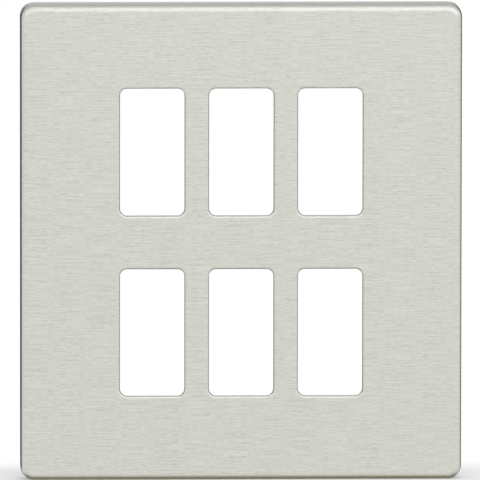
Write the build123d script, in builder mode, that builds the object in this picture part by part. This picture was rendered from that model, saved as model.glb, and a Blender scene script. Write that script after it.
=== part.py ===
"""Clip-on cover plate for six switch modules, three across and two down.

Two pieces: a pressed sheet of brushed metal, and the moulded frame behind it that carries the hooks.

Frame: +X right, +Z up, +Y into the wall. The rim that meets the wall lies in the plane y = 0, the origin is
at its middle, and the brushed face looks along -Y. Levels are distances in front of the wall.
"""
import os

from build123d import *

# Pressed sheet
plate_width = 120.0
plate_height = 130.0
plate_depth = 7.5
sheet = 1.0
corner_radius = 3.7
bend_radius = 2.2

# Windows in the sheet, and the rounding where the punch went in
columns = 3
rows = 2
column_pitch = 24.2
row_pitch = 49.3
window_width = 17.55
window_height = 34.6
window_corner = 1.95
window_roll = 0.8

# Notch in the bottom edge for the blade that levers the plate off
pry_width = 10.0
pry_height = 1.6
pry_corner = 0.5

# Moulded frame, a push fit in the skirt
fit_clearance = 0.15
moulding = 1.5
frame_setback = 0.5
crush_width = 1.0
crush_lead = 1.5
crush_spacing_across = 36.0
crush_spacing_up = 38.0
crush_count = 3

# Collars round the frame's openings, and the ribs between them
window_reveal = 1.0
collar_wall = 1.2
rib = 1.0
rib_offset = 12.0

# Support frame on the wall, which the collars and ribs seat on
support_width = 94.0
support_level = 3.4
support_edge = 1.5

# Hooks, which reach over the side edges of the support frame
hook_play = 0.1
hook_width = 10.0
hook_arm = 1.0
hook_barb = 0.5
hook_return = 0.35
hook_land = 0.15
hook_lead = 0.8
hook_root = 0.5
core_clearance = 0.3

# Levels and sizes that follow from those above
frame_gap = sheet + fit_clearance
frame_width = plate_width - 2 * frame_gap
frame_height = plate_height - 2 * frame_gap
frame_corner = corner_radius - frame_gap
frame_edge = bend_radius - sheet + fit_clearance
frame_front = plate_depth - sheet
skin_back = frame_front - moulding
crush_front = frame_front - frame_edge - crush_lead
opening_width = window_width + 2 * window_reveal
opening_height = window_height + 2 * window_reveal
opening_corner = window_corner + window_reveal
hook_span = support_width + 2 * hook_play
catch_level = support_level - support_edge - hook_play
barb_level = catch_level - hook_return
ramp_level = barb_level - hook_land
tip_level = ramp_level - hook_lead


def pry_outline():
    """The blade's notch as seen from below, on the outside of the bottom skirt."""
    with BuildSketch(Plane.XY.offset(-plate_height / 2)) as outline:
        RectangleRounded(pry_width, 2 * pry_height, pry_corner)
    return outline.sketch


# The pressed sheet is drawn as a tray and pierced from the front
with BuildPart() as front_plate:
    with BuildSketch(Plane.XZ):
        RectangleRounded(plate_width, plate_height, corner_radius)
    extrude(amount=plate_depth)
    fillet(front_plate.faces().sort_by(Axis.Y)[0].edges(), radius=bend_radius)
    offset(amount=-sheet, openings=front_plate.faces().sort_by(Axis.Y)[-1])

    with BuildSketch(Plane.XZ.offset(plate_depth)):
        with GridLocations(column_pitch, row_pitch, columns, rows):
            RectangleRounded(window_width, window_height, window_corner)
    extrude(amount=-2 * sheet, mode=Mode.SUBTRACT)
    face = front_plate.faces().sort_by(Axis.Y)[0]
    fillet(face.inner_wires().edges(), radius=window_roll)
    extrude(pry_outline(), amount=sheet, mode=Mode.SUBTRACT)

# The frame is one moulding: skin, perimeter wall, crush ribs, collars, ribs and hooks
with BuildPart() as clip_frame:
    with BuildSketch(Plane.XZ.offset(frame_setback)):
        RectangleRounded(frame_width, frame_height, frame_corner)
    extrude(amount=frame_front - frame_setback)
    fillet(clip_frame.faces().sort_by(Axis.Y)[0].edges(), radius=frame_edge)
    with BuildSketch(Plane.XZ.offset(frame_setback)):
        with GridLocations(crush_spacing_across, 0, crush_count, 1):
            Rectangle(crush_width, plate_height - 2 * sheet)
        with GridLocations(0, crush_spacing_up, 1, crush_count):
            Rectangle(plate_width - 2 * sheet, crush_width)
    extrude(amount=crush_front - frame_setback)

    with BuildSketch(Plane.XZ.offset(frame_setback)):
        RectangleRounded(frame_width - 2 * moulding, frame_height - 2 * moulding, frame_corner - moulding)
    extrude(amount=skin_back - frame_setback, mode=Mode.SUBTRACT)

    with BuildSketch(Plane.XZ.offset(support_level)):
        with GridLocations(column_pitch, row_pitch, columns, rows):
            RectangleRounded(
                opening_width + 2 * collar_wall,
                opening_height + 2 * collar_wall,
                opening_corner + collar_wall,
            )
        with GridLocations(column_pitch, 0, columns, 1):
            Rectangle(rib, frame_height - moulding)
        with GridLocations(0, row_pitch, 1, rows):
            with GridLocations(0, 2 * rib_offset, 1, 2):
                Rectangle(frame_width - moulding, rib)
        Rectangle(frame_width - moulding, rib)
    extrude(amount=skin_back - support_level)

    with BuildSketch(Plane.XZ):
        with GridLocations(column_pitch, row_pitch, columns, rows):
            RectangleRounded(opening_width, opening_height, opening_corner)
    extrude(amount=plate_depth, mode=Mode.SUBTRACT)

    for side in (-1, 1):
        for row in (-0.5, 0.5):
            root = (side * hook_span / 2, 0, row * row_pitch)
            across_hook = Plane(origin=root, x_dir=(-side, 0, 0), z_dir=(0, 0, side))
            with BuildSketch(across_hook):
                with BuildLine():
                    Polyline(
                        (-hook_arm, skin_back),
                        (0, skin_back),
                        (0, catch_level),
                        (hook_barb, barb_level),
                        (hook_barb, ramp_level),
                        (0, tip_level),
                        (-hook_arm, tip_level),
                        close=True,
                    )
                make_face()
            extrude(amount=hook_width / 2, both=True)
            roots = clip_frame.edges(Select.LAST).filter_by(Axis.Z).group_by(Axis.Y)[0]
            fillet(roots.sort_by_distance((0, 0, 0))[-1], radius=hook_root)

            # The core of the mould reaches the back of the barb through a slot in the skin
            with BuildSketch(across_hook):
                with Locations((0, skin_back)):
                    Rectangle(hook_barb + core_clearance, moulding, align=(Align.MIN, Align.MIN))
            extrude(amount=hook_width / 2, both=True, mode=Mode.SUBTRACT)
    extrude(pry_outline(), amount=frame_gap + moulding, mode=Mode.SUBTRACT)

os.makedirs("parts", exist_ok=True)
front_plate.part.label = "front_plate"
export_step(front_plate.part, "parts/front_plate.step")
clip_frame.part.label = "clip_frame"
export_step(clip_frame.part, "parts/clip_frame.step")
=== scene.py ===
# %% [markdown]
# # A brushed switch plate with six windows
#
# The object is a clip-on cover plate for a wall switch: one pressed sheet of brushed metal, and
# behind it one moulded frame whose hooks hold the sheet to the wall. The CAD model already has both
# at their real sizes. This lesson gives them the surfaces that the eye looks for: a drawn edge,
# rolled windows, brush lines that follow the bends, and a moulding with rounded rims.

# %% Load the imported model
import math

import bmesh
import bpy
from mathutils import Matrix, Quaternion, Vector


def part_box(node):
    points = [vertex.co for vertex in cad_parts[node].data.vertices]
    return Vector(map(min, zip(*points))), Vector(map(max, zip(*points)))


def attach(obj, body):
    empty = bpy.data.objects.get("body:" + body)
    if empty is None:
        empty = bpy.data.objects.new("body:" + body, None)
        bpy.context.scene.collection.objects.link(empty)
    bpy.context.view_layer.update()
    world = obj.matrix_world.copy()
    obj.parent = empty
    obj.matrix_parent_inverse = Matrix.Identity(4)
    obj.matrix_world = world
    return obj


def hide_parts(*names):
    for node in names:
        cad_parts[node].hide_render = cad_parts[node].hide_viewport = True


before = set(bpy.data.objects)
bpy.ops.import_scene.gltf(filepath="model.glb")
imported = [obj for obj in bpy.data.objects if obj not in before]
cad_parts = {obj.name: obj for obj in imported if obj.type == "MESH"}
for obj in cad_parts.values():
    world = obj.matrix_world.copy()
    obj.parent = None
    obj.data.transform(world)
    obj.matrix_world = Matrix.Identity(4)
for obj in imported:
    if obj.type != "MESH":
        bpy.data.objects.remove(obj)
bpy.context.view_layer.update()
print("nodes:", sorted(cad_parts))

# %% [markdown]
# ## Sizes
#
# Blender works in metres here, and a maker thinks in millimetres, so every size of the plate below
# is written as millimetres times MM. The three outside sizes are read from the CAD node, which
# keeps the new sheet in the same place.

# %% Outside sizes of the sheet
MM = 0.001
low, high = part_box("front_plate")
plate_width = high.x - low.x
plate_height = high.z - low.z
plate_depth = high.y - low.y
print(f"sheet {plate_width / MM:.1f} by {plate_height / MM:.1f} by {plate_depth / MM:.1f} mm")

# %% [markdown]
# ## Camera
#
# The opposite edges of the plate stay almost parallel in the picture, so the camera stood far off
# with a long lens. It looks from a little above and a little to the left, and leans by a few
# hundredths of a degree. A camera that aims at a point needs no shift, and the point is moved by a
# fraction of a millimetre to frame the plate.

# %% Camera at the photograph's angle
IMAGE_PX = 480
PX_PER_MM = 3.677
camera_azimuth = math.radians(-2.0)
camera_elevation = math.radians(6.2)
camera_lean = math.radians(0.06)
camera_distance = 4.3
aim_right = -0.23 * MM
aim_up = 0.26 * MM

to_camera = Vector((
    math.sin(camera_azimuth) * math.cos(camera_elevation),
    -math.cos(camera_azimuth) * math.cos(camera_elevation),
    math.sin(camera_elevation),
))
facing_plate = to_camera.to_track_quat("Z", "Y")
lean = Quaternion((0, 0, 1), camera_lean)
camera = bpy.data.objects.new("camera", bpy.data.cameras.new("camera"))
camera.location = Vector((aim_right, -plate_depth / 2, aim_up)) + to_camera * camera_distance
camera.rotation_euler = (facing_plate @ lean).to_euler()
camera.data.lens = camera.data.sensor_width * camera_distance * PX_PER_MM / (IMAGE_PX * MM)
bpy.context.scene.collection.objects.link(camera)
bpy.context.scene.camera = camera
print(f"lens {camera.data.lens:.0f} mm at {camera_distance} m")

# %% [markdown]
# ## Rounded outlines
#
# A press tool is a set of rounded rectangles, one above the other, and so is the sheet that it
# draws. Such an outline could be worked out corner by corner. Here a square is made, stretched and
# stood upright, and a vertex bevel rounds its corners. Every outline of one shape has the same
# number of points, so bridge_loops joins each to the next with a clean row of faces.

# %% Outline and loft
def outline(bm, middle, width, height, corner, level, steps):
    """Add a rounded rectangle of edges, level in front of the wall, and return its edges."""
    square = bmesh.ops.create_grid(bm, x_segments=1, y_segments=1, size=0.5)["verts"]
    place = Matrix.Translation((middle[0], -level, middle[1]))
    upright = Matrix.Rotation(math.radians(90), 4, "X")
    stretch = Matrix.Diagonal((width, height, 1, 1))
    bmesh.ops.transform(bm, matrix=place @ upright @ stretch, verts=square)
    rounded = bmesh.ops.bevel(
        bm, geom=square, affect="VERTICES", offset=corner, offset_type="OFFSET",
        segments=steps, profile=0.5, material=-1,
    )
    face = rounded["verts"][0].link_faces[0]
    edges = list(face.edges)
    bmesh.ops.delete(bm, geom=[face], context="FACES_ONLY")
    return edges


def loft(bm, outlines):
    """Join each outline to the next with a row of faces."""
    for near, far in zip(outlines, outlines[1:]):
        bmesh.ops.bridge_loops(bm, edges=near + far)


def quarter(steps):
    """Sine and cosine of angles from the flat face, 0, to the wall of a bend, 90 degrees."""
    angles = [math.pi / 2 * step / steps for step in range(steps + 1)]
    return [(math.sin(angle), math.cos(angle)) for angle in angles]


# %% [markdown]
# ## The drawn tray
#
# The sheet is 1 mm thick and is drawn into a shallow tray. Its outer bend and its inner bend have
# one centre, so the wall keeps its thickness round the edge. A Solidify modifier would come close,
# but two lofts with that centre give both bends exactly, and leave the flat face open for the
# windows.

# %% Outer and inner skins of the tray
sheet = 1.0 * MM
corner_radius = 3.7 * MM
bend_radius = 2.2 * MM
BEND_STEPS = 14
CORNER_STEPS = 16
TO_WALL = (0, 1, 0)
TO_ROOM = (0, -1, 0)

tray = bmesh.new()


def tray_outline(inset, level):
    """One section of the tray, inset from its outside."""
    width = plate_width - 2 * inset
    height = plate_height - 2 * inset
    return outline(tray, (0, 0), width, height, corner_radius - inset, level, CORNER_STEPS)


def tray_skin(radius):
    """Loft a skin from the flat face, round a bend of this radius and down to the wall."""
    bend_level = plate_depth - bend_radius
    sections = [
        (bend_radius - radius * sine, bend_level + radius * cosine)
        for sine, cosine in quarter(BEND_STEPS)
    ]
    sections.append((bend_radius - radius, 0))
    outlines = [tray_outline(inset, level) for inset, level in sections]
    loft(tray, outlines)
    return outlines


outer_skin = tray_skin(bend_radius)
inner_skin = tray_skin(bend_radius - sheet)
skirt_edges = outer_skin[-1] + inner_skin[-1]
bmesh.ops.triangle_fill(tray, edges=skirt_edges, normal=TO_WALL, use_beauty=True)
print("faces in the two skins and the rim:", len(tray.faces))

# %% [markdown]
# ## Six rolled windows
#
# A punch pulls the front of the sheet down with it before it cuts, so the front edge of each window
# is round and the back edge is crisp. Boolean cuts would need their ragged edges mended before
# those could be rounded. Instead, each window is a short loft from the face, over the roll and
# through the sheet. triangle_fill then closes the face and its back round the windows. Both are
# flat, so triangles do no harm.

# %% Windows
columns = 3
rows = 2
column_pitch = 24.2 * MM
row_pitch = 49.3 * MM
window_width = 17.55 * MM
window_height = 34.6 * MM
window_corner = 1.95 * MM
window_roll = 0.8 * MM
ROLL_STEPS = 8

window_middles = [
    ((column - (columns - 1) / 2) * column_pitch, (row - (rows - 1) / 2) * row_pitch)
    for row in range(rows)
    for column in range(columns)
]
window_sections = [
    (window_roll * (1 - sine), plate_depth - window_roll * (1 - cosine))
    for sine, cosine in quarter(ROLL_STEPS)
]
window_sections.append((0, plate_depth - sheet))


def window_outline(middle, outset, level):
    """One section of a window, outset from its clear opening."""
    width = window_width + 2 * outset
    height = window_height + 2 * outset
    return outline(tray, middle, width, height, window_corner + outset, level, CORNER_STEPS)


face_edges = list(outer_skin[0])
back_edges = list(inner_skin[0])
for middle in window_middles:
    outlines = [window_outline(middle, outset, level) for outset, level in window_sections]
    loft(tray, outlines)
    face_edges += outlines[0]
    back_edges += outlines[-1]
print("windows:", len(window_middles))

# %% Face and back
for edges, facing in ((face_edges, TO_ROOM), (back_edges, TO_WALL)):
    bmesh.ops.triangle_fill(tray, edges=edges, normal=facing, use_beauty=True)
bmesh.ops.recalc_face_normals(tray, faces=tray.faces)
print("faces with the windows:", len(tray.faces))

# %% [markdown]
# ## The notch for the blade
#
# A shallow notch in the bottom edge lets a screwdriver blade lever the plate off the wall. A
# Boolean modifier would need a cutter object. Three bisect cuts mark the notch out on the bottom
# skirt instead, its faces are deleted, and a bridge through the thickness of the sheet closes it. A
# bevel then rounds its two corners.

# %% Cut the notch out of the bottom skirt
pry_width = 10.0 * MM
pry_height = 1.6 * MM
NEAR = 0.01 * MM
outside_z = -plate_height / 2
inside_z = outside_z + sheet


def bottom_skirt(half_width):
    """Faces of the bottom skirt, both skins and the rim, within half_width of its middle."""
    found = []
    for face in tray.faces:
        middle = face.calc_center_median()
        low_enough = middle.z < inside_z + NEAR
        straight = middle.y > bend_radius - plate_depth
        if low_enough and straight and abs(middle.x) < half_width:
            found.append(face)
    return found


def cut(faces, point, normal):
    """Cut these faces where a plane crosses them."""
    edges = {edge for face in faces for edge in face.edges}
    verts = {vert for face in faces for vert in face.verts}
    geom = list(verts) + list(edges) + faces
    bmesh.ops.bisect_plane(tray, geom=geom, plane_co=point, plane_no=normal)


for side in (-1, 1):
    cut(bottom_skirt(plate_width / 2), (side * pry_width / 2, 0, 0), (1, 0, 0))
notch_front = -pry_height
cut(bottom_skirt(pry_width / 2), (0, notch_front, 0), (0, 1, 0))
gone = [face for face in bottom_skirt(pry_width / 2) if face.calc_center_median().y > notch_front]
bmesh.ops.delete(tray, geom=gone, context="FACES")
print("faces deleted from the notch:", len(gone))


# %% Close the notch
def at_notch_side(vert):
    """True for a point of the bottom skirt that lies on a side line of the notch."""
    return abs(abs(vert.co.x) - pry_width / 2) < NEAR and vert.co.z < inside_z + NEAR


def at_height(vert, z):
    """True for a point at this height."""
    return abs(vert.co.z - z) < NEAR


def across_sheet(edge):
    """True for an edge that runs through the thickness of the bottom skirt."""
    return not at_height(edge.verts[0], edge.verts[1].co.z)


def inside_the_rim(vert):
    """True for an open point between the skins, where a cut crossed the rim's triangles."""
    between_skins = not at_height(vert, outside_z) and not at_height(vert, inside_z)
    return between_skins and vert.is_boundary and at_notch_side(vert)


bmesh.ops.dissolve_verts(tray, verts=[vert for vert in tray.verts if inside_the_rim(vert)])
notch_edges = [edge for edge in tray.edges if edge.is_boundary and not across_sheet(edge)]
bmesh.ops.bridge_loops(tray, edges=notch_edges)
print("notch edges bridged:", len(notch_edges))
print("open edges left:", sum(1 for edge in tray.edges if edge.is_boundary))

# %% Round the notch's corners
pry_corner = 0.5 * MM
NOTCH_STEPS = 6
FLAT_ANGLE = 1e-4

# The cuts leave edges across flat faces, which the mesh doesn't need
side_edges = [edge for edge in tray.edges if all(at_notch_side(vert) for vert in edge.verts)]
flat_edges = [edge for edge in side_edges if edge.calc_face_angle(1) < FLAT_ANGLE]
bmesh.ops.dissolve_edges(tray, edges=flat_edges, use_verts=True)


def at_notch_corner(vert):
    """True for a point where a side line of the notch meets the notch's front."""
    return at_notch_side(vert) and abs(vert.co.y - notch_front) < NEAR


notch_corners = [
    edge for edge in tray.edges
    if across_sheet(edge) and all(at_notch_corner(vert) for vert in edge.verts)
]
bmesh.ops.bevel(
    tray, geom=notch_corners, affect="EDGES", offset=pry_corner, offset_type="OFFSET",
    segments=NOTCH_STEPS, profile=0.5, material=-1,
)
print("corners rounded:", len(notch_corners))

# %% [markdown]
# ## Brush lines that follow the sheet
#
# The sheet is brushed flat, from side to side, and drawn afterwards, so the lines run round the
# left and right bends without a break. Object coordinates would stretch them there. A UV map that
# unrolls the bends gives each point the place it had on the flat sheet, in metres, and the tangent
# that the brushed gloss needs.

# %% Unroll a point of the sheet
def nearest_core(point, middle, half_width, half_height):
    """Nearest point of a rectangle's core, and the offset from it, in the plane of the face."""
    x = min(max(point.x, middle[0] - half_width), middle[0] + half_width)
    z = min(max(point.z, middle[1] - half_height), middle[1] + half_height)
    core = Vector((x, z))
    return core, Vector((point.x, point.z)) - core


def run_down(level, radius):
    """Length along the sheet from the flat face, round a bend of this radius, to this level."""
    start = plate_depth - radius
    if level > start:
        return radius * math.acos(min(1, (level - start) / radius))
    return radius * math.pi / 2 + start - level


def unrolled(point):
    """Place of a point on the flat sheet before it was drawn and punched."""
    level = -point.y
    for middle in window_middles:
        core, offset = nearest_core(point, middle, window_width / 2 - window_corner,
                                    window_height / 2 - window_corner)
        flat = window_corner + window_roll
        if NEAR < offset.length < flat + NEAR:
            return core + offset.normalized() * (flat - run_down(level, window_roll))
    core, offset = nearest_core(point, (0, 0), plate_width / 2 - corner_radius,
                                plate_height / 2 - corner_radius)
    flat = corner_radius - bend_radius
    if offset.length > flat + NEAR:
        return core + offset.normalized() * (flat + run_down(level, bend_radius))
    return Vector((point.x, point.z))


# %% Write the UV map
FACING_AHEAD = 0.9999

brush_run = tray.loops.layers.uv.new("brush_run")
for face in tray.faces:
    flat_face = abs(face.normal.y) > FACING_AHEAD
    for corner in face.loops:
        point = corner.vert.co
        corner[brush_run].uv = (point.x, point.z) if flat_face else unrolled(point)
print("corners with a place on the flat sheet:", sum(len(face.loops) for face in tray.faces))

# %% [markdown]
# ## Shading the sheet
#
# A press leaves the face flat right up to each bend, and the eye reads that from the gloss. Smooth
# shading alone averages the normals there, and tilts the light at the edge of the face. A much
# finer mesh would hide that. Here a Weighted Normal modifier lets the largest faces decide, and
# edges steeper than 40 degrees, such as the back edge of each window, stay crisp.

# %% Finish the sheet
EDGE_ANGLE = math.radians(40)


def shade_smooth(bm):
    """Shade all faces smooth, and keep the edges crisp that are steeper than EDGE_ANGLE."""
    bm.normal_update()
    for face in bm.faces:
        face.smooth = True
    for edge in bm.edges:
        edge.smooth = edge.calc_face_angle(0) < EDGE_ANGLE


shade_smooth(tray)
sheet_mesh = bpy.data.meshes.new("front_sheet")
tray.to_mesh(sheet_mesh)
tray.free()
front_sheet = bpy.data.objects.new("front_sheet", sheet_mesh)
bpy.context.scene.collection.objects.link(front_sheet)
level_gloss = front_sheet.modifiers.new("level_gloss", "WEIGHTED_NORMAL")
level_gloss.keep_sharp = True
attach(front_sheet, "root")
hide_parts("front_plate")
print("front_sheet has", len(sheet_mesh.polygons), "faces")

# %% [markdown]
# ## The moulded frame
#
# The frame behind the sheet is one injection moulding with collars, ribs and hooks. The melt
# doesn't fill the deepest edges of a mould to a perfect corner, so the rims come out a little
# round, and that catches the light. The frame could be modelled again, but its CAD mesh is already
# right. A copy of that mesh is merged, its flat regions are joined into single faces, and a bevel
# rounds the rims of the wall, the collars and the ribs, and the tips of the hooks. A Bevel modifier
# would take every edge, and the smallest steps would hold its width down to almost nothing.

# %% Copy and merge the frame
MERGE_DISTANCE = 0.001 * MM
LEVEL_ANGLE = math.radians(0.5)

cast = bmesh.new()
cast.from_mesh(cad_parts["clip_frame"].data)
bmesh.ops.remove_doubles(cast, verts=cast.verts, dist=MERGE_DISTANCE)
bmesh.ops.dissolve_limit(cast, angle_limit=LEVEL_ANGLE, verts=cast.verts, edges=cast.edges)
print("frame faces after merging:", len(cast.faces))

# %% Round the rims
wall_inset = 2.65 * MM
wall_rim_level = 0.5 * MM
collar_rim_level = 3.4 * MM
rim_round = 0.2 * MM
RIM_STEPS = 3


def inside_wall(vert):
    """True for a point of the frame on the inner face of its perimeter wall, or further in."""
    within_width = abs(vert.co.x) < plate_width / 2 - wall_inset + NEAR
    within_height = abs(vert.co.z) < plate_height / 2 - wall_inset + NEAR
    return within_width and within_height


def on_rim(edge, level):
    """True for an outward edge at this level, inside the perimeter wall."""
    outward = edge.is_convex and edge.calc_face_angle(0) > EDGE_ANGLE
    at_level = all(abs(vert.co.y + level) < NEAR for vert in edge.verts)
    return outward and at_level and all(inside_wall(vert) for vert in edge.verts)


rim_edges = [
    edge for edge in cast.edges
    if on_rim(edge, wall_rim_level) or on_rim(edge, collar_rim_level)
]
bmesh.ops.bevel(
    cast, geom=rim_edges, affect="EDGES", offset=rim_round, offset_type="OFFSET",
    segments=RIM_STEPS, profile=0.5, material=-1, face_strength_mode="AFFECTED",
)
print("rim edges rounded:", len(rim_edges))

# %% [markdown]
# ## Shading the frame
#
# A moulded face is level right up to its rounded rim. So the bevel marked the faces beside each rim
# as strong, and a Weighted Normal modifier lets the strong faces decide. The flat faces have many
# corners, and an export could split them into slivers. They could be cut up by hand. A Triangulate
# modifier, set to leave triangles and quads alone, does it with well shaped triangles.

# %% Finish the frame
shade_smooth(cast)
frame_mesh = bpy.data.meshes.new("hook_frame")
cast.to_mesh(frame_mesh)
cast.free()
hook_frame = bpy.data.objects.new("hook_frame", frame_mesh)
bpy.context.scene.collection.objects.link(hook_frame)
level_faces = hook_frame.modifiers.new("level_faces", "WEIGHTED_NORMAL")
level_faces.keep_sharp = True
level_faces.use_face_influence = True
clean_split = hook_frame.modifiers.new("clean_split", "TRIANGULATE")
clean_split.ngon_method = "BEAUTY"
clean_split.min_vertices = 5
clean_split.keep_custom_normals = True
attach(hook_frame, "root")
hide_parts("clip_frame")
print("hook_frame has", len(frame_mesh.polygons), "faces")

# %% [markdown]
# ## Helpers for materials
#
# Colours are written as the hex values that a picture editor shows, and one function turns them to
# the linear values that shaders use. Another adds a node with its settings and its links in one
# line.

# %% Colour and node helpers
def colour(hex_text):
    """Linear red, green, blue and alpha of an sRGB hex colour."""
    channels = [int(hex_text[start:start + 2], 16) / 255 for start in (1, 3, 5)]
    linear = [c / 12.92 if c <= 0.04045 else ((c + 0.055) / 1.055) ** 2.4 for c in channels]
    return (*linear, 1)


def add_node(tree, kind, inputs, **settings):
    """Add a node, set its options, and set or link each named input."""
    node = tree.nodes.new(kind)
    for name, value in settings.items():
        setattr(node, name, value)
    for name, value in inputs.items():
        if isinstance(value, bpy.types.NodeSocket):
            tree.links.new(value, node.inputs[name])
        else:
            node.inputs[name].default_value = value
    return node


def empty_material(name):
    """A material with no nodes yet, and its node tree."""
    material = bpy.data.materials.new(name)
    material.use_nodes = True
    material.node_tree.nodes.clear()
    return material, material.node_tree


# %% [markdown]
# ## Brushed stainless sheet
#
# Stainless sheet with a satin finish is drawn over an abrasive belt, which leaves short scratches
# side by side. To the eye they are fine dashes, lighter and darker, along the width of the plate,
# and a gloss that spreads up and down across them. Here and there a coarser grit left a darker
# dash. A picture of brushed metal would repeat and would smear at the bends, so the dashes are
# noise that is stretched along the unrolled sheet. Real scratches are about 0.02 mm wide. That is
# too fine to show, so they are drawn 0.2 mm wide and a few millimetres long.

# %% Dashes along the brushing
brushed_stainless, tree = empty_material("brushed_stainless")
run = add_node(tree, "ShaderNodeUVMap", {}, uv_map="brush_run")


def dashes(length_mm, width_mm, shift):
    """Noise with dashes about this long and wide, shifted so that no two layers agree."""
    stretched = add_node(tree, "ShaderNodeMapping", {
        "Vector": run.outputs["UV"],
        "Location": (shift, shift, 0),
        "Scale": (1 / (length_mm * MM), 1 / (width_mm * MM), 1),
    })
    return add_node(tree, "ShaderNodeTexNoise", {
        "Vector": stretched.outputs["Vector"],
        "Scale": 1.0,
        "Detail": 2.0,
        "Roughness": 0.6,
    }).outputs["Fac"]


fine = dashes(1.7, 0.20, 0.0)
long = dashes(9.0, 0.24, 31.7)
lines = add_node(tree, "ShaderNodeMix", {"Factor": 0.5, "A": fine, "B": long})
print("nodes for the dashes:", len(tree.nodes))

# %% Tone of the dashes, and the deeper marks
tone = add_node(tree, "ShaderNodeMapRange", {
    "Value": lines.outputs["Result"],
    "From Min": 0.32,
    "From Max": 0.60,
}, interpolation_type="SMOOTHSTEP")
brushed_colour = add_node(tree, "ShaderNodeMix", {
    "Factor": tone.outputs["Result"],
    "A": colour("#BDBDB5"),
    "B": colour("#D6D6CE"),
}, data_type="RGBA")
deep_mark = add_node(tree, "ShaderNodeMapRange", {
    "Value": dashes(3.2, 0.26, 67.3),
    "From Min": 0.64,
    "From Max": 0.76,
    "To Max": 0.6,
})
metal_colour = add_node(tree, "ShaderNodeMix", {
    "Factor": deep_mark.outputs["Result"],
    "A": brushed_colour.outputs["Result"],
    "B": colour("#A6A69E"),
}, data_type="RGBA")
print("nodes with the tone:", len(tree.nodes))

# %% Gloss that spreads across the dashes
gloss = add_node(tree, "ShaderNodeMapRange", {
    "Value": lines.outputs["Result"],
    "From Min": 0.3,
    "From Max": 0.7,
    "To Min": 0.37,
    "To Max": 0.30,
})
relief = add_node(tree, "ShaderNodeBump", {
    "Strength": 0.15,
    "Distance": 0.01 * MM,
    "Height": lines.outputs["Result"],
})
along = add_node(tree, "ShaderNodeTangent", {}, direction_type="UV_MAP", uv_map="brush_run")
metal = add_node(tree, "ShaderNodeBsdfPrincipled", {
    "Base Color": metal_colour.outputs["Result"],
    "Metallic": 1.0,
    "Roughness": gloss.outputs["Result"],
    "Anisotropic": 0.6,
    "Anisotropic Rotation": 0.25,
    "Tangent": along.outputs["Tangent"],
    "Normal": relief.outputs["Normal"],
})
add_node(tree, "ShaderNodeOutputMaterial", {"Surface": metal.outputs["BSDF"]})
front_sheet.data.materials.append(brushed_stainless)
print("brushed_stainless has", len(tree.nodes), "nodes")

# %% [markdown]
# ## Moulded polycarbonate
#
# The frame insulates a metal plate, so it is a flame-proof polycarbonate blend in a light warm
# grey. The steel of its mould is eroded by sparks, which leaves an even matt grain on every face,
# and the way that the melt flowed leaves slight clouds in the tone. One flat colour would hide
# both, so each is a noise of its own: one moves the gloss and the relief, the other the colour. The
# real grain is a few hundredths of a millimetre wide. That is too fine to show, so it is drawn 0.25
# mm wide.

# %% Moulded polycarbonate
grain_width = 0.25 * MM
cloud_width = 22 * MM

moulded_polycarbonate, tree = empty_material("moulded_polycarbonate")
on_frame = add_node(tree, "ShaderNodeTexCoord", {})
grain = add_node(tree, "ShaderNodeTexNoise", {
    "Vector": on_frame.outputs["Object"],
    "Scale": 1 / grain_width,
    "Detail": 3.0,
})
clouds = add_node(tree, "ShaderNodeTexNoise", {
    "Vector": on_frame.outputs["Object"],
    "Scale": 1 / cloud_width,
    "Detail": 2.0,
})
resin_colour = add_node(tree, "ShaderNodeMix", {
    "Factor": clouds.outputs["Fac"],
    "A": colour("#D9D9D3"),
    "B": colour("#E6E6E1"),
}, data_type="RGBA")
matt = add_node(tree, "ShaderNodeMapRange", {
    "Value": grain.outputs["Fac"],
    "To Min": 0.5,
    "To Max": 0.66,
})
sparked = add_node(tree, "ShaderNodeBump", {
    "Strength": 0.25,
    "Distance": 0.02 * MM,
    "Height": grain.outputs["Fac"],
})
resin = add_node(tree, "ShaderNodeBsdfPrincipled", {
    "Base Color": resin_colour.outputs["Result"],
    "Roughness": matt.outputs["Result"],
    "IOR": 1.58,
    "Normal": sparked.outputs["Normal"],
})
add_node(tree, "ShaderNodeOutputMaterial", {"Surface": resin.outputs["BSDF"]})
hook_frame.data.materials.append(moulded_polycarbonate)
print("moulded_polycarbonate has", len(tree.nodes), "nodes")

# %% [markdown]
# ## Floor
#
# The plate stands on a pale floor. A plain white board would show its far edge and its own shading.
# So the board takes the soft shadow close to the foot of the plate, and within 30 mm it goes over
# to an even white that the background has too. It is clear from below, so that a view from there
# isn't blocked, and the gloss of the metal doesn't see it.

# %% Floor board
FLOOR_RADIUS = 0.6
FLOOR_SIDES = 96
floor_level = -plate_height / 2

disc = bmesh.new()
bmesh.ops.create_circle(disc, cap_ends=True, segments=FLOOR_SIDES, radius=FLOOR_RADIUS)
bmesh.ops.translate(disc, verts=disc.verts, vec=(0, 0, floor_level))
floor_mesh = bpy.data.meshes.new("floor")
disc.to_mesh(floor_mesh)
disc.free()
floor = bpy.data.objects.new("floor", floor_mesh)
bpy.context.scene.collection.objects.link(floor)
floor.visible_glossy = False
print(f"floor {floor_level / MM:.1f} mm from the plate's middle")

# %% Distance from the foot
SHADOW_REACH = 30 * MM

# A metre is more than the board's height, so only the distances across and along the floor count
foot_corner = (plate_width / 2, plate_depth, 1)

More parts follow.
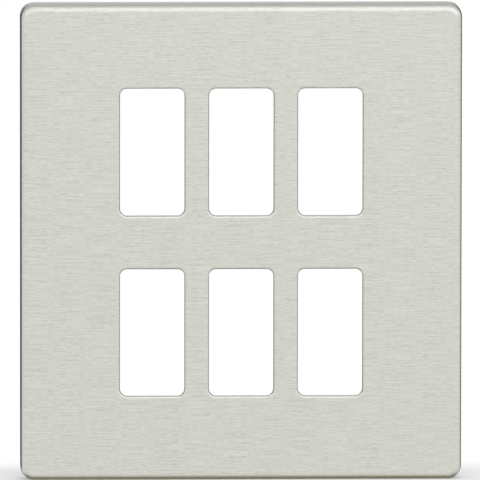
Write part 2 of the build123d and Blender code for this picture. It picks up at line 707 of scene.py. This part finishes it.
white_board, tree = empty_material("white_board")
on_floor = add_node(tree, "ShaderNodeTexCoord", {})
either_side = add_node(tree, "ShaderNodeVectorMath", {
    0: on_floor.outputs["Object"],
}, operation="ABSOLUTE")
past_foot = add_node(tree, "ShaderNodeVectorMath", {
    0: either_side.outputs["Vector"],
    1: foot_corner,
}, operation="SUBTRACT")
from_foot = add_node(tree, "ShaderNodeVectorMath", {
    0: past_foot.outputs["Vector"],
    1: (0, 0, 0),
}, operation="MAXIMUM")
distance = add_node(tree, "ShaderNodeVectorMath", {
    0: from_foot.outputs["Vector"],
}, operation="LENGTH")
fade = add_node(tree, "ShaderNodeMapRange", {
    "Value": distance.outputs["Value"],
    "From Max": SHADOW_REACH,
}, interpolation_type="SMOOTHSTEP")
print(f"the shadow fades over {SHADOW_REACH / MM:.0f} mm")

# %% White that starts at the foot
board = add_node(tree, "ShaderNodeBsdfDiffuse", {"Color": colour("#FAFAFA")})
even_white = add_node(tree, "ShaderNodeEmission", {"Color": (1, 1, 1, 1), "Strength": 1.0})
from_above = add_node(tree, "ShaderNodeMixShader", {
    0: fade.outputs["Result"],
    1: board.outputs["BSDF"],
    2: even_white.outputs["Emission"],
})
seen_side = add_node(tree, "ShaderNodeNewGeometry", {})
clear = add_node(tree, "ShaderNodeBsdfTransparent", {})
one_sided = add_node(tree, "ShaderNodeMixShader", {
    0: seen_side.outputs["Backfacing"],
    1: from_above.outputs["Shader"],
    2: clear.outputs["BSDF"],
})
add_node(tree, "ShaderNodeOutputMaterial", {"Surface": one_sided.outputs["Shader"]})
floor_mesh.materials.append(white_board)
print("white_board has", len(tree.nodes), "nodes")

# %% [markdown]
# ## Studio light
#
# A metal plate shows its surroundings, so a photographer lights the surroundings. Most of them are
# white, which is the world here. Lamps alone would leave the edges of the plate as pale as its
# face. So a long soft box above, in front and to the right puts the bright line on the upper bend,
# and a dimmer one to the left of it carries that line round the left corner. Flags, which are cards
# that only gloss sees, stand round the plate. Dark ones beside and behind it give the left and
# right edges their dark line, a pale one over it greys the top edge, and a warm one under it browns
# the bottom edge. The places of lights and flags are in metres, and their angles in degrees.

# %% World
WORLD_LIGHT = 0.8

world = bpy.data.worlds.new("white_studio")
world.use_nodes = True
tree = world.node_tree
tree.nodes.clear()
ray = add_node(tree, "ShaderNodeLightPath", {})
seen = add_node(tree, "ShaderNodeMath", {
    0: ray.outputs["Is Camera Ray"],
    1: ray.outputs["Is Glossy Ray"],
}, operation="ADD")
shown = add_node(tree, "ShaderNodeMath", {
    0: seen.outputs["Value"],
    1: ray.outputs["Is Transmission Ray"],
}, operation="ADD", use_clamp=True)
plain = add_node(tree, "ShaderNodeBackground", {"Color": (1, 1, 1, 1), "Strength": WORLD_LIGHT})
white = add_node(tree, "ShaderNodeBackground", {"Color": (1, 1, 1, 1), "Strength": 1.0})
sky = add_node(tree, "ShaderNodeMixShader", {
    0: shown.outputs["Value"],
    1: plain.outputs["Background"],
    2: white.outputs["Background"],
})
add_node(tree, "ShaderNodeOutputWorld", {"Surface": sky.outputs["Shader"]})
bpy.context.scene.world = world
print("world lights at", WORLD_LIGHT)

# %% Soft boxes
BOX_DISTANCE = 0.5
BOX_ELEVATION = 36
BOX_HEIGHT = 0.45
BOX_LEFT = -0.6
BOX_JOIN = -0.03
BOX_RIGHT = 1.17
MAIN_GLOW = 0.73
FILL_GLOW = 0.45

plate_top = Vector((0, -plate_depth, plate_height / 2))
box_angle = math.radians(BOX_ELEVATION)
to_box = Vector((0, -math.cos(box_angle), math.sin(box_angle)))


def soft_box(name, left, right, glow):
    """Hang a soft box over the front of the plate, between two places along its width."""
    light = bpy.data.lights.new(name, "AREA")
    light.shape = "RECTANGLE"
    light.color = colour("#F4F4FF")[:3]
    light.size = right - left
    light.size_y = BOX_HEIGHT
    light.energy = glow * math.pi * light.size * light.size_y
    box = bpy.data.objects.new(name, light)
    box.location = plate_top + to_box * BOX_DISTANCE + Vector(((left + right) / 2, 0, 0))
    box.rotation_euler = to_box.to_track_quat("Z", "Y").to_euler()
    box.visible_camera = False
    bpy.context.scene.collection.objects.link(box)
    print(f"{name} of {light.energy:.2f} W, from {left} to {right} m along the width")


soft_box("main_box", BOX_JOIN, BOX_RIGHT, MAIN_GLOW)
soft_box("fill_box", BOX_LEFT, BOX_JOIN, FILL_GLOW)

# %% Sweep a flag
FLAG_STEPS = 24


def flag(name, edge, centre, axis, sweep, tint):
    """Sweep an edge round an axis into a stage card of one colour, which only glossy rays see."""
    bm = bmesh.new()
    ends = [bm.verts.new(end) for end in edge]
    line = bm.edges.new(ends)
    bmesh.ops.spin(
        bm, geom=ends + [line], cent=centre, axis=axis, angle=math.radians(sweep),
        steps=FLAG_STEPS,
    )
    mesh = bpy.data.meshes.new(name)
    bm.to_mesh(mesh)
    bm.free()
    card = bpy.data.objects.new(name, mesh)
    bpy.context.scene.collection.objects.link(card)
    card.visible_camera = False
    card.visible_diffuse = False
    card.visible_shadow = False
    card.visible_transmission = False
    material, tree = empty_material(name)
    glow = add_node(tree, "ShaderNodeEmission", {"Color": colour(tint), "Strength": 1.0})
    add_node(tree, "ShaderNodeOutputMaterial", {"Surface": glow.outputs["Emission"]})
    mesh.materials.append(material)
    print(name, "sweeps", sweep, "degrees")


# %% Dark flags beside and behind the plate
FLAG_RADIUS = 0.4
LEFT_START = 107
RIGHT_START = 113
BACK_START = 162
SIDE_FOOT = -0.15
SIDE_TOP = 0.26
BACK_FOOT = -0.25
BACK_TOP = 0.04
plate_middle = (0, 0, 0)


def upright_edge(degrees, low_z, high_z):
    """An upright edge at this angle round the plate, from straight ahead towards the right."""
    angle = math.radians(degrees)
    x = FLAG_RADIUS * math.sin(angle)
    y = -FLAG_RADIUS * math.cos(angle)
    return (x, y, low_z), (x, y, high_z)


for name, side, start, tint in (
    ("left_flag", -1, LEFT_START, "#484848"),
    ("right_flag", 1, RIGHT_START, "#505050"),
):
    edge = upright_edge(side * start, SIDE_FOOT, SIDE_TOP)
    flag(name, edge, plate_middle, (0, 0, side), BACK_START - start, tint)
edge = upright_edge(BACK_START, BACK_FOOT, BACK_TOP)
flag("back_flag", edge, plate_middle, (0, 0, 1), 360 - 2 * BACK_START, "#505050")

# %% Pale flag over the plate, and warm flag under it
TOP_START = 76
TOP_SWEEP = 98
TOP_HALF_WIDTH = 0.8
UNDER_RADIUS = 0.08
UNDER_START = -71
UNDER_SWEEP = 106
UNDER_HALF_WIDTH = 0.13
plate_foot = Vector((0, -plate_depth, floor_level))


def level_edge(centre, degrees, radius, half_width):
    """An edge from left to right at this angle round the centre, from straight ahead upwards."""
    angle = math.radians(degrees)
    y = centre.y - radius * math.cos(angle)
    z = centre.z + radius * math.sin(angle)
    return (-half_width, y, z), (half_width, y, z)


edge = level_edge(plate_top, TOP_START, FLAG_RADIUS, TOP_HALF_WIDTH)
flag("top_flag", edge, plate_top, (-1, 0, 0), TOP_SWEEP, "#D8D8D8")
edge = level_edge(plate_foot, UNDER_START, UNDER_RADIUS, UNDER_HALF_WIDTH)
flag("under_flag", edge, plate_foot, (1, 0, 0), UNDER_SWEEP, "#88826F")

# %% [markdown]
# ## View transform
#
# The Standard view transform shows each colour as it is written, where Blender's default would
# soften it.

# %% View settings
bpy.context.scene.view_settings.view_transform = "Standard"
